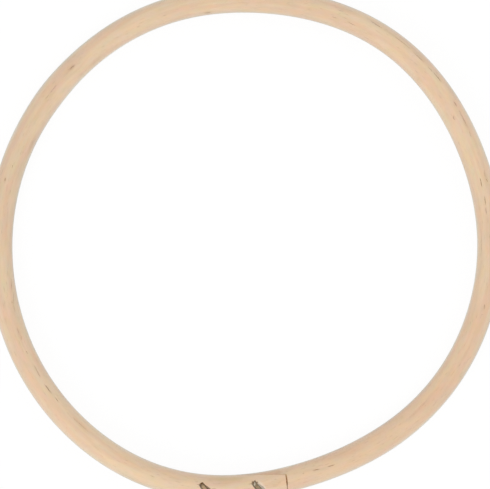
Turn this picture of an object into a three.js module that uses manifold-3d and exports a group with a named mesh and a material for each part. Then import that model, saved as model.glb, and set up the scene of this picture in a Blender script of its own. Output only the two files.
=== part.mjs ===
// A craft hoop for needlework, 150 mm across, bent from one length of round peeled cane.
// The two ends of the cane are cut to long tapers with blunt tips, lapped over each other,
// glued and held by two wire staples driven from above. The hoop lies flat on its underside.
// Millimetres, +Z up, origin under the middle of the hoop's outline.
import * as THREE from 'three';
import { mergeVertices } from 'three/addons/utils/BufferGeometryUtils.js';
import Module from 'manifold-3d';

const wasm = await Module();
wasm.setup();

// The hoop and its cane.
const HOOP_DIAMETER = 150; // over the outside, before the hand-bent lobes are added
const CANE_DIAMETER = 7.5;
const CANE_SIDES = 24; // an even number, so that the cane lies on a flat side
const HOOP_STEPS = 144;

// The hoop was bent by hand, so its centre line swells and dips round a true circle.
// Each lobe has its number of waves a turn, its height, and the angle of one crest in degrees.
const LOBES = [
  { waves: 2, height: 0.82, crest: 40 },
  { waves: 3, height: 0.46, crest: -7 },
  { waves: 4, height: 0.44, crest: -30 },
  { waves: 5, height: 0.25, crest: -29 },
  { waves: 6, height: 0.1, crest: 0 },
  { waves: 7, height: 0.12, crest: 3 },
];

// Two faint swellings of the cane: angle round the hoop, added radius, and reach along the cane.
const SWELLINGS = [
  { at: 142, height: 0.14, reach: 9 },
  { at: 304, height: 0.13, reach: 16 },
];

// The scarf joint. Lengths are measured along the cane from the middle of the joint.
const SCARF_ANGLE = 267.5;
const SCARF_LENGTH = 31.4;
const TIP_THICKNESS = 0.9; // each taper stops in a blunt tip this thick
const TIP_GAP = 0.5; // open gap between a blunt tip and the shoulder that it faces
const TIP_SKEW = -3; // degrees by which a tip's face leans away from square
const TAPER_ROLL = 10; // degrees by which the slanting cut is rolled, higher on the inside of the hoop
const TAPER_STEP = 1;

// The film of glue between the two tapers.
const GLUE_THICKNESS = 0.2;
const GLUE_CLEARANCE = 0.25;
const GLUE_RECESS = 0.25; // the film stops this far inside the surface of the cane

// The two staples, driven at a slant across the top of the joint, one near each tip.
const STAPLE_CROWN = 5.2; // over the outside of both legs
const STAPLE_COVER = 1; // cane left below the points
const STAPLE_TO_TIP = 8.1; // from the middle of a staple to the tip that it holds down
const STAPLE_CLEARANCE = 0.25;
const WIRE_WIDTH = 1.25;
const WIRE_THICKNESS = 1;
const SHOULDER_RADIUS = 0.8;
const BEND_RADIUS = 0.2;
const BEND_STEPS = 4;
const POINT_LENGTH = 0.7;

// How each staple was driven: its end of the joint, its crown's slant from the line of the cane,
// its roll from the top of the cane towards the outside of the hoop, and how deep its crown is sunk.
const STAPLES = [
  { name: 'left_staple', end: -1, slant: 46, roll: 17, sunk: 0.6 },
  { name: 'right_staple', end: 1, slant: 53, roll: 17, sunk: 0.35 },
];

const CANE_COLOUR = 0xe0c4a6;
const GLUE_COLOUR = 0xcdb68a;
const STEEL_COLOUR = 0x9a9182;

const caneRadius = CANE_DIAMETER / 2;
const caneHeight = caneRadius * Math.cos(Math.PI / CANE_SIDES); // of its middle, lying on a flat side
const hoopRadius = (HOOP_DIAMETER - CANE_DIAMETER) / 2;
const stapleLeg = CANE_DIAMETER - STAPLE_COVER - Math.max(...STAPLES.map((staple) => staple.sunk));
const reachPast = CANE_DIAMETER * 2; // far enough for a cut to pass right through the cane
const degrees = THREE.MathUtils.degToRad;

// Radius of the centre line at an angle round the hoop, in radians.
function centreLine(turn) {
  return LOBES.reduce(
    (radius, lobe) => radius + lobe.height * Math.cos(lobe.waves * (turn - degrees(lobe.crest))),
    hoopRadius,
  );
}

// How much thicker than plain the cane is at an angle, as a factor.
function girth(turn) {
  return SWELLINGS.reduce((factor, swelling) => {
    const away = turn - degrees(swelling.at);
    const shortWay = Math.atan2(Math.sin(away), Math.cos(away));
    const share = (shortWay * hoopRadius) / swelling.reach;
    return factor + (swelling.height / caneRadius) * Math.exp(-share * share);
  }, 1);
}

// Moves every point of a geometry by a function of its position.
function reshape(geometry, move) {
  const positions = geometry.attributes.position;
  const point = new THREE.Vector3();
  for (let i = 0; i < positions.count; i += 1) {
    point.fromBufferAttribute(positions, i);
    move(point);
    positions.setXYZ(i, point.x, point.y, point.z);
  }
  return geometry;
}

function solidOf(geometry) {
  const bare = geometry.clone();
  bare.deleteAttribute('normal');
  bare.deleteAttribute('uv');
  const merged = mergeVertices(bare);
  return new wasm.Manifold(new wasm.Mesh({
    numProp: 3,
    vertProperties: merged.attributes.position.array,
    triVerts: merged.index.array,
  }));
}

function geometryOf(solid) {
  const mesh = solid.getMesh();
  const geometry = new THREE.BufferGeometry();
  geometry.setAttribute('position', new THREE.BufferAttribute(mesh.vertProperties, 3));
  geometry.setIndex(new THREE.BufferAttribute(mesh.triVerts, 1));
  geometry.computeVertexNormals();
  return geometry;
}

// The whole ring of cane before it is cut, slimmer all round by an inset.
function caneRing(inset = 0) {
  const radius = caneRadius - inset;
  const profile = [];
  for (let i = 0; i <= CANE_SIDES; i += 1) {
    const around = ((i % CANE_SIDES) + 0.5) * ((2 * Math.PI) / CANE_SIDES) - Math.PI / 2;
    profile.push(new THREE.Vector2(hoopRadius + radius * Math.cos(around), radius * Math.sin(around)));
  }
  const ring = new THREE.LatheGeometry(profile, HOOP_STEPS);
  ring.rotateX(Math.PI / 2);
  return reshape(ring, (point) => {
    const turn = Math.atan2(point.y, point.x);
    const thick = girth(turn);
    const out = centreLine(turn) + (Math.hypot(point.x, point.y) - hoopRadius) * thick;
    point.set(out * Math.cos(turn), out * Math.sin(turn), (point.z + caneHeight) * thick);
  });
}

// Bends what is made on straight cane round the hoop at the joint: x along the cane, y inwards, z upwards
// from its middle. It is rolled with the slanting cut, and what is square to the cane leans with the tips.
function bendRound(geometry) {
  const skew = Math.tan(degrees(TIP_SKEW)) / (SCARF_LENGTH / 2);
  geometry.rotateX(degrees(TAPER_ROLL));
  return reshape(geometry, (point) => {
    const turn = degrees(SCARF_ANGLE) + (point.x * (1 - point.y * skew)) / hoopRadius;
    const out = centreLine(turn) - point.y;
    point.set(out * Math.cos(turn), out * Math.sin(turn), caneHeight + point.z);
  });
}

// Points of the slanting cut between the tapers, from one place along the cane to another.
function taperLine(from, to, lift) {
  const slope = (CANE_DIAMETER - 2 * TIP_THICKNESS) / SCARF_LENGTH;
  const count = Math.ceil(Math.abs(to - from) / TAPER_STEP);
  const line = [];
  for (let i = 0; i <= count; i += 1) {
    const along = from + ((to - from) * i) / count;
    line.push(new THREE.Vector2(along, along * slope + lift));
  }
  return line;
}

// A slice right across straight cane, from its outline of length and height.
function crossSlice(outline) {
  const slice = new THREE.ExtrudeGeometry(new THREE.Shape(outline), { depth: reachPast, bevelEnabled: false });
  slice.translate(0, 0, -reachPast / 2);
  slice.rotateX(Math.PI / 2);
  return slice;
}

// The thin Z-shaped cut that parts the two ends: the slanting cut, with a tip gap at each end of it.
function scarfCut() {
  const half = SCARF_LENGTH / 2;
  const lift = GLUE_THICKNESS / 2 + GLUE_CLEARANCE;
  const cut = crossSlice([
    new THREE.Vector2(-half - TIP_GAP, -reachPast),
    new THREE.Vector2(-half, -reachPast),
    ...taperLine(-half, half + TIP_GAP, -lift),
    new THREE.Vector2(half + TIP_GAP, reachPast),
    new THREE.Vector2(half, reachPast),
    ...taperLine(half, -half - TIP_GAP, lift),
  ]);
  return solidOf(bendRound(cut));
}

// The points of an arc from its middle, its radius, and its first and last angle in degrees.
function arc(x, y, radius, from, to) {
  return Array.from({ length: BEND_STEPS + 1 }, (_, i) => {
    const angle = degrees(from + ((to - from) * i) / BEND_STEPS);
    return new THREE.Vector2(x + radius * Math.cos(angle), y + radius * Math.sin(angle));
  });
}

// The outline of a staple seen square on, with its crown's top at zero, grown by a clearance.
function stapleOutline(grow) {
  const half = STAPLE_CROWN / 2 + grow;
  const wire = WIRE_THICKNESS + 2 * grow;
  const shoulder = SHOULDER_RADIUS + grow;
  const bend = Math.max(BEND_RADIUS - grow, BEND_RADIUS / 10);
  const point = -stapleLeg - grow;
  const leg = (side) => [
    new THREE.Vector2(side * half, point + POINT_LENGTH),
    new THREE.Vector2(side * (half - wire / 2), point),
    new THREE.Vector2(side * (half - wire), point + POINT_LENGTH),
  ];
  return [
    ...arc(half - shoulder, grow - shoulder, shoulder, 90, 0),
    ...leg(1),
    ...arc(half - wire - bend, grow - wire - bend, bend, 0, 90),
    ...arc(wire + bend - half, grow - wire - bend, bend, 90, 180),
    ...leg(-1).reverse(),
    ...arc(shoulder - half, grow - shoulder, shoulder, 180, 90),
  ];
}

// The open groove above a staple's crown, pressed into the cane when the crown was driven below it.
function grooveOutline() {
  const half = STAPLE_CROWN / 2 + STAPLE_CLEARANCE;
  const floor = -WIRE_THICKNESS - STAPLE_CLEARANCE;
  return [
    new THREE.Vector2(-half, floor),
    new THREE.Vector2(half, floor),
    new THREE.Vector2(half, reachPast),
    new THREE.Vector2(-half, reachPast),
  ];
}

// An outline of width and height stood upright and given a thickness.
function upright(outline, thickness) {
  const plate = new THREE.ExtrudeGeometry(new THREE.Shape(outline), { depth: thickness, bevelEnabled: false });
  plate.translate(0, 0, -thickness / 2);
  plate.rotateX(Math.PI / 2);
  return plate;
}

// Where the top of a staple's crown sits in the hoop, and how the staple is turned.
function stapleSeat({ end, slant, roll, sunk }) {
  const turn = degrees(SCARF_ANGLE) + (end * (SCARF_LENGTH / 2 - STAPLE_TO_TIP)) / hoopRadius;
  const out = centreLine(turn);
  return new THREE.Matrix4()
    .makeTranslation(out * Math.cos(turn), out * Math.sin(turn), caneHeight)
    .multiply(new THREE.Matrix4().makeRotationZ(turn))
    .multiply(new THREE.Matrix4().makeRotationY(degrees(roll)))
    .multiply(new THREE.Matrix4().makeTranslation(0, 0, caneRadius - sunk))
    .multiply(new THREE.Matrix4().makeRotationZ(degrees(90 - slant)));
}

// All that a staple takes out of the joint: the holes of its legs and the groove of its crown.
function stapleHole(staple) {
  const seat = stapleSeat(staple);
  const width = WIRE_WIDTH + 2 * STAPLE_CLEARANCE;
  const legs = upright(stapleOutline(STAPLE_CLEARANCE), width).applyMatrix4(seat);
  const groove = upright(grooveOutline(), width).applyMatrix4(seat);
  return solidOf(legs).add(solidOf(groove));
}

const stapleHoles = STAPLES.map(stapleHole);

function bentCane() {
  const parted = solidOf(caneRing()).subtract(scarfCut());
  return stapleHoles.reduce((cane, hole) => cane.subtract(hole), parted);
}

function scarfGlue() {
  const half = SCARF_LENGTH / 2 - GLUE_RECESS;
  const lift = GLUE_THICKNESS / 2;
  const sheet = crossSlice([...taperLine(-half, half, -lift), ...taperLine(half, -half, lift)]);
  const film = solidOf(bendRound(sheet)).intersect(solidOf(caneRing(GLUE_RECESS)));
  return stapleHoles.reduce((glue, hole) => glue.subtract(hole), film);
}

const hoop = new THREE.Group();

function addPiece(name, geometry, finish) {
  const piece = new THREE.Mesh(geometry, new THREE.MeshStandardMaterial(finish));
  piece.name = name;
  hoop.add(piece);
  return piece;
}

const cane = addPiece('bent_cane', geometryOf(bentCane()), { color: CANE_COLOUR, roughness: 0.6, metalness: 0 });
addPiece('scarf_glue', geometryOf(scarfGlue()), { color: GLUE_COLOUR, roughness: 0.4, metalness: 0 });
for (const staple of STAPLES) {
  const steel = { color: STEEL_COLOUR, roughness: 0.4, metalness: 1 };
  addPiece(staple.name, upright(stapleOutline(0), WIRE_WIDTH), steel).applyMatrix4(stapleSeat(staple));
}

// The origin goes under the middle of the hoop's outline.
cane.geometry.computeBoundingBox();
const middle = cane.geometry.boundingBox.getCenter(new THREE.Vector3());
hoop.position.set(-middle.x, -middle.y, 0);

export default hoop;
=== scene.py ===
"""A needlework hoop bent from one length of round peeled cane, lying flat on a pale floor.

The two ends of the cane are cut to long tapers, lapped, glued and held by two wire staples. All pieces
are modelled in millimetres, and come to metres when they are finished.
"""

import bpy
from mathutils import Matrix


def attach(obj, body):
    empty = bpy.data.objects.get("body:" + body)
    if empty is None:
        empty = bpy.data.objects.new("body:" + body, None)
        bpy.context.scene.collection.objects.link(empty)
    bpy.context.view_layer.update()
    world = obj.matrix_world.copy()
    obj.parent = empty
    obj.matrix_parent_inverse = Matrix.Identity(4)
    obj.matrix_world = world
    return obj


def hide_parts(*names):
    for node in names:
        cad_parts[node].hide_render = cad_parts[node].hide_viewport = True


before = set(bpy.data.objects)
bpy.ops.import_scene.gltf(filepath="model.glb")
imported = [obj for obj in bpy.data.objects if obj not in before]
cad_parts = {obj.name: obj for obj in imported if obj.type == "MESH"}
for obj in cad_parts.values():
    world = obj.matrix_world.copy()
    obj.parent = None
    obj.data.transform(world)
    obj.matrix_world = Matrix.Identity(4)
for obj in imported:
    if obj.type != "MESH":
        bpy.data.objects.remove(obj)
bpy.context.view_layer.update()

import logging
import math
import random
from collections import defaultdict
from dataclasses import dataclass
from enum import Enum
from functools import cached_property

import bmesh
import bpy
from mathutils import Matrix, Vector, noise

log = logging.getLogger("needlework_hoop")

BODY = "root"
METRES = 0.001
FULL_TURN = 2 * math.pi

# The angle in degrees past which an edge is shaded sharp.
SHARPEST_BEND = 38

# Below this height in a staple's own axes lies the far side of the cane, which the staple doesn't mark.
FAR_SIDE = -2.0

# The distance in millimetres that stands for a place on the far side.
OUT_OF_REACH = 100.0

MeshPart = bmesh.types.BMVert | bmesh.types.BMEdge | bmesh.types.BMFace


class Slot(Enum):
    """The hoop's material slots."""

    CANE = "cane"
    STEEL = "staple_steel"
    GLUE = "glue"


class Carving(Enum):
    """What a boolean does to a piece."""

    CUT_AWAY = "DIFFERENCE"
    KEEP_COMMON = "INTERSECT"


class CaneFace(Enum):
    """The places in the cane's list of finishes."""

    SKIN = 0
    SAWN = 1
    CRUSHED = 2
    CHECK = 3


def smooth_step(low: float, high: float, value: float) -> float:
    """A smooth rise from 0 at low to 1 at high.

    Args:
        low: Where the rise starts.
        high: Where it ends.
        value: The place asked for.

    Returns:
        The height of the rise there.
    """
    share = min(max((value - low) / (high - low), 0.0), 1.0)
    return share * share * (3 - 2 * share)


def soft_noise(*place: float) -> float:
    """Smooth noise from -1 to 1 at a place of three numbers."""
    return noise.noise(Vector(place))


def turned_from(turn: float, degrees: float) -> float:
    """How far an angle round the hoop lies from another, by the shorter way round.

    Args:
        turn: The angle, in radians.
        degrees: The other angle, in degrees.

    Returns:
        The difference in radians, up to half a turn to either side.
    """
    away = turn - math.radians(degrees)
    return math.atan2(math.sin(away), math.cos(away))


@dataclass(frozen=True)
class Band:
    """A band with soft edges: it rises between its first two values and falls between its last two."""

    rise_from: float
    rise_to: float
    fall_from: float
    fall_to: float

    def at(self, value: float) -> float:
        """How full the band is at a value, from 0 to 1."""
        rise = smooth_step(self.rise_from, self.rise_to, value)
        return rise * (1 - smooth_step(self.fall_from, self.fall_to, value))


def whole(mesh: bmesh.types.BMesh) -> list[MeshPart]:
    """All the parts of a mesh, as the operators take them."""
    return mesh.verts[:] + mesh.edges[:] + mesh.faces[:]


def verts_of(parts: list[MeshPart]) -> list[bmesh.types.BMVert]:
    """The vertices among the parts that an operator returned."""
    return [part for part in parts if isinstance(part, bmesh.types.BMVert)]


def face_outwards(mesh: bmesh.types.BMesh) -> None:
    """Turns all faces of a closed mesh outwards."""
    bmesh.ops.recalc_face_normals(mesh, faces=mesh.faces[:])


def dress(mesh: bmesh.types.BMesh, finish: CaneFace) -> None:
    """Gives all faces of a cutter the finish that they leave on the cane."""
    for face in mesh.faces:
        face.material_index = finish.value


def slab(outline: list[Vector], width: float) -> bmesh.types.BMesh:
    """A slab that is cut from a side view.

    Args:
        outline: The slab's outline in the xz plane.
        width: Its width along y, half of it to either side.

    Returns:
        The slab as a closed mesh.
    """
    mesh = bmesh.new()
    corners = [mesh.verts.new(point - Vector((0, width / 2, 0))) for point in outline]
    side = mesh.faces.new(corners)
    copied = bmesh.ops.extrude_face_region(mesh, geom=[side])["geom"]
    bmesh.ops.translate(mesh, verts=verts_of(copied), vec=(0, width, 0))
    return mesh


@dataclass(frozen=True)
class Lobe:
    """One wave of the hand-bent outline: waves a turn, height, and the angle of a crest in degrees."""

    waves: int
    height: float
    crest: float


@dataclass(frozen=True)
class Swelling:
    """A faint thickening of the cane: angle round the hoop, added radius, and reach along the cane."""

    at: float
    height: float
    reach: float


@dataclass(frozen=True)
class HoopLine:
    """The centre line of the cane, round which every piece is placed, in millimetres."""

    hoop_diameter: float = 150.0
    cane_diameter: float = 7.5
    rest_sides: int = 24
    lobes: tuple[Lobe, ...] = (
        Lobe(2, 0.82, 40),
        Lobe(3, 0.46, -7),
        Lobe(4, 0.44, -30),
        Lobe(5, 0.25, -29),
        Lobe(6, 0.1, 0),
        Lobe(7, 0.12, 3),
    )
    swellings: tuple[Swelling, ...] = (Swelling(142, 0.14, 9), Swelling(304, 0.13, 16))
    outline_samples: int = 720

    @property
    def mean_radius(self) -> float:
        """Radius of the centre line without its lobes."""
        return (self.hoop_diameter - self.cane_diameter) / 2

    @cached_property
    def cane_radius(self) -> float:
        """Radius of the round cane: the circle inside the flat sides that the hoop rests on."""
        return self.cane_diameter / 2 * math.cos(math.pi / self.rest_sides)

    def radius(self, turn: float) -> float:
        """Radius of the centre line, which the lobes make uneven.

        Args:
            turn: Angle round the hoop.

        Returns:
            The radius there.
        """
        heights = (
            lobe.height * math.cos(lobe.waves * (turn - math.radians(lobe.crest)))
            for lobe in self.lobes
        )
        return self.mean_radius + sum(heights)

    def girth(self, turn: float) -> float:
        """How much thicker than plain the cane is at an angle.

        Args:
            turn: Angle round the hoop.

        Returns:
            The factor by which it is thicker.
        """
        factor = 1.0
        for swelling in self.swellings:
            share = turned_from(turn, swelling.at) * self.mean_radius / swelling.reach
            factor += swelling.height / (self.cane_diameter / 2) * math.exp(-share * share)
        return factor

    @cached_property
    def middle(self) -> Vector:
        """The middle of the hoop's outline, which is the origin of the finished hoop."""
        turns = [FULL_TURN * i / self.outline_samples for i in range(self.outline_samples)]
        reach = [self.radius(turn) + self.cane_radius * self.girth(turn) for turn in turns]
        across = [out * math.cos(turn) for out, turn in zip(reach, turns)]
        along = [out * math.sin(turn) for out, turn in zip(reach, turns)]
        return Vector(((max(across) + min(across)) / 2, (max(along) + min(along)) / 2, 0))

    def place(self, turn: float, out: float, up: float) -> Vector:
        """A point of the hoop.

        Args:
            turn: Angle round the hoop.
            out: Distance outwards from the cane's axis.
            up: Height above the cane's axis.

        Returns:
            The point.
        """
        thick = self.girth(turn)
        away = self.radius(turn) + out * thick
        height = (up + self.cane_radius) * thick
        return Vector((away * math.cos(turn), away * math.sin(turn), height)) - self.middle

    def place_round(self, turn: float, around: float, radius: float) -> Vector:
        """A point of the hoop, from its angle round the cane's section and its distance from the axis."""
        return self.place(turn, radius * math.cos(around), radius * math.sin(around))

    def locate(self, point: Vector) -> tuple[float, float, float]:
        """Finds a point on the cane: the reverse of place.

        Args:
            point: A point of the hoop.

        Returns:
            Its angle round the hoop, its distance outwards from the cane's axis and its height above
            the axis.
        """
        flat = point + self.middle
        turn = math.atan2(flat.y, flat.x)
        thick = self.girth(turn)
        out = (math.hypot(flat.x, flat.y) - self.radius(turn)) / thick
        return turn, out, flat.z / thick - self.cane_radius


@dataclass(frozen=True)
class ScarfJoint:
    """The lap of the two tapered ends. Lengths run along the cane from the middle of the joint."""

    line: HoopLine
    angle: float = 267.5
    length: float = 31.4
    tip_thickness: float = 0.9
    tip_gap: float = 0.42
    tip_skew: float = -3.0
    taper_roll: float = 10.0
    tip_waver: float = 0.09
    tip_pinch: float = 0.27
    seam: float = 0.05
    glue_thickness: float = 0.036
    tip_lift: float = 0.12
    lift_reach: float = 8.0
    station_gap: float = 0.5
    strips: int = 30
    saw_waver: float = 0.03
    tip_face: float = 0.1
    pinch_from: float = 1.0
    pinch_to: float = 2.0
    shoulder_reach: float = 1.5

    @property
    def half(self) -> float:
        """Half the length of the lap."""
        return self.length / 2

    @property
    def slope(self) -> float:
        """Rise of the tapers for each millimetre along."""
        return (self.line.cane_diameter - 2 * self.tip_thickness) / self.length

    def along(self, turn: float) -> float:
        """Distance along the cane from the middle of the joint, to either side of it."""
        return turned_from(turn, self.angle) * self.line.mean_radius

    def turn(self, along: float) -> float:
        """Angle round the hoop at a distance from the middle of the joint."""
        return math.radians(self.angle) + along / self.line.mean_radius

    def square_along(self, along: float, out: float) -> float:
        """Distance along without the lean of the tips, so that each tip's face is at one value."""
        return along - out * math.tan(math.radians(self.tip_skew)) * along / self.half

    def above_cut(self, along: float, out: float, up: float) -> float:
        """Height of a point above the slanting cut, which is rolled up towards the hoop's inside."""
        roll = math.radians(self.taper_roll)
        return out * math.sin(roll) + up * math.cos(roll) - self.square_along(along, out) * self.slope

    def on_upper_lap(self, along: float, out: float, up: float) -> bool:
        """Tells the two ends apart.

        Args:
            along: Distance along the cane from the middle of the joint.
            out: Distance outwards from the cane's axis.
            up: Height above it.

        Returns:
            Whether the point belongs to the end that lies on top.
        """
        square = self.square_along(along, out)
        if square > self.half + self.tip_gap / 2:
            return False
        if square < -self.half - self.tip_gap / 2:
            return True
        return self.above_cut(along, out, up) > 0

    def in_tip_gap(self, along: float, out: float) -> bool:
        """Whether a point lies on the face of a tip, or on the shoulder across the gap from it."""
        away = abs(self.square_along(along, out)) - self.half
        return -self.tip_gap / 2 < away < self.shoulder_reach * self.tip_gap

    def grain_length(self, turn: float, out: float, up: float) -> float:
        """How far along the straight cane a point was before the cane was bent.

        Args:
            turn: Angle round the hoop.
            out: Distance outwards from the cane's axis.
            up: Height above it.

        Returns:
            The distance, which goes on past a full turn on the end that lies on top.
        """
        along = self.along(turn)
        full_length = FULL_TURN * self.line.mean_radius
        if abs(along) <= self.half + 2 * self.tip_gap:
            return along + full_length if self.on_upper_lap(along, out, up) else along
        return along if along > 0 else along + full_length

    def taper(self, start: float, end: float, lift: float) -> list[Vector]:
        """One line of the slanting cut, seen from the side, which wavers as the saw did.

        Args:
            start: Distance along of its first point.
            end: Distance along of its last one.
            lift: Height above the middle of the cut.

        Returns:
            The points.
        """
        count = math.ceil(abs(end - start) / self.station_gap)
        points = []
        for i in range(count + 1):
            along = start + (end - start) * i / count
            waver = self.saw_waver * soft_noise(along * 0.35, 7.5, 0.0)
            points.append(Vector((along, 0, along * self.slope + waver + lift)))
        return points

    def tip_wander(self, along: float, out: float, up: float) -> float:
        """How far the face of a tip, or of the shoulder that it meets, strays from its straight cut.

        Args:
            along: Distance along the cane from the middle of the joint.
            out: Distance outwards from the cane's axis.
            up: Height above it.

        Returns:
            The distance that it strays along the cane.
        """
        if abs(along) < self.half - self.tip_face:
            return 0.0
        shoulder = abs(along) > self.half + self.tip_gap / 2
        pattern = 5.0 + 7.0 * shoulder + math.copysign(3.0, along)
        waver = self.tip_waver * soft_noise(out * 0.8, up * 0.6, pattern)
        if shoulder and along > 0:
            return waver - self.tip_pinch * smooth_step(self.pinch_from, self.pinch_to, out)
        return waver

    def slice(self, outline: list[Vector], finish: CaneFace) -> bmesh.types.BMesh:
        """A slice right across the cane, bent round the hoop with it.

        Args:
            outline: The slice's outline seen from the side, along and up.
            finish: The finish that its faces leave on what it cuts.

        Returns:
            The slice as a closed mesh.
        """
        width = 2 * self.line.cane_diameter
        mesh = slab(outline, width)
        for i in range(1, self.strips):
            middle = (0, width * (i / self.strips - 0.5), 0)
            bmesh.ops.bisect_plane(mesh, geom=whole(mesh), plane_co=middle, plane_no=(0, 1, 0))
        bmesh.ops.triangulate(mesh, faces=mesh.faces[:])
        rolled = Matrix.Rotation(math.radians(-self.taper_roll), 3, "X")
        bmesh.ops.rotate(mesh, verts=mesh.verts[:], cent=(0, 0, 0), matrix=rolled)
        lean = math.tan(math.radians(self.tip_skew)) / self.half
        for vert in mesh.verts:
            along, out, up = vert.co
            along += out * lean * along + self.tip_wander(along, out, up)
            vert.co = self.line.place(self.turn(along), out, up)
        face_outwards(mesh)
        dress(mesh, finish)
        return mesh

    def kerf(self) -> bmesh.types.BMesh:
        """The Z-shaped gap between the two ends.

        Returns:
            The cutter as a closed mesh.
        """
        reach = 2 * self.line.cane_diameter
        half, gap, lift = self.half, self.tip_gap, self.seam / 2
        outline = [Vector((-half - gap, 0, -reach)), Vector((-half, 0, -reach))]
        outline += self.taper(-half, half + gap, -lift)
        outline += [Vector((half + gap, 0, reach)), Vector((half, 0, reach))]
        outline += self.taper(half, -half - gap, lift)
        return self.slice(outline, CaneFace.SAWN)

    def film(self) -> bmesh.types.BMesh:
        """The sheet of glue between the tapers, wider than the cane.

        Returns:
            The sheet as a closed mesh.
        """
        lift = self.glue_thickness / 2
        reach = self.half - self.tip_gap
        outline = self.taper(-reach, reach, -lift) + self.taper(reach, -reach, lift)
        return self.slice(outline, CaneFace.SKIN)


@dataclass(frozen=True)
class Flank:
    """One side of a dent.

    It has a spread past the wire at mid-length, a depth below the wire's top and a share of dirt and
    painted shade.
    """

    spread: float
    depth: float
    grime: float


@dataclass(frozen=True)
class Dent:
    """The dent that a staple was driven into.

    It runs a little past the wire's first end, where it is painted fully dark with dirt and shade. The lip
    is how pale the fibres are that were pushed up along its right side, partly a painted highlight.
    """

    left: Flank
    right: Flank
    first_end: float
    lip: float

    @staticmethod
    def between(across: float, left: float, right: float) -> float:
        """A value that changes smoothly from the dent's left side to its right."""
        return left + (right - left) * smooth_step(-0.4, 0.4, across)


@dataclass(frozen=True)
class Smudge:
    """A soft smudge of dirt and painted shade on a staple and the wood round it.

    It has its middle in the staple's own axes, its size and its depth of colour.
    """

    x: float
    y: float
    size: float
    depth: float

    def at(self, local: Vector) -> float:
        """How dark the smudge is at a point in the staple's own axes."""
        away = math.hypot(local.x - self.x, local.y - self.y) / self.size
        return self.depth * math.exp(-away * away)


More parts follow.
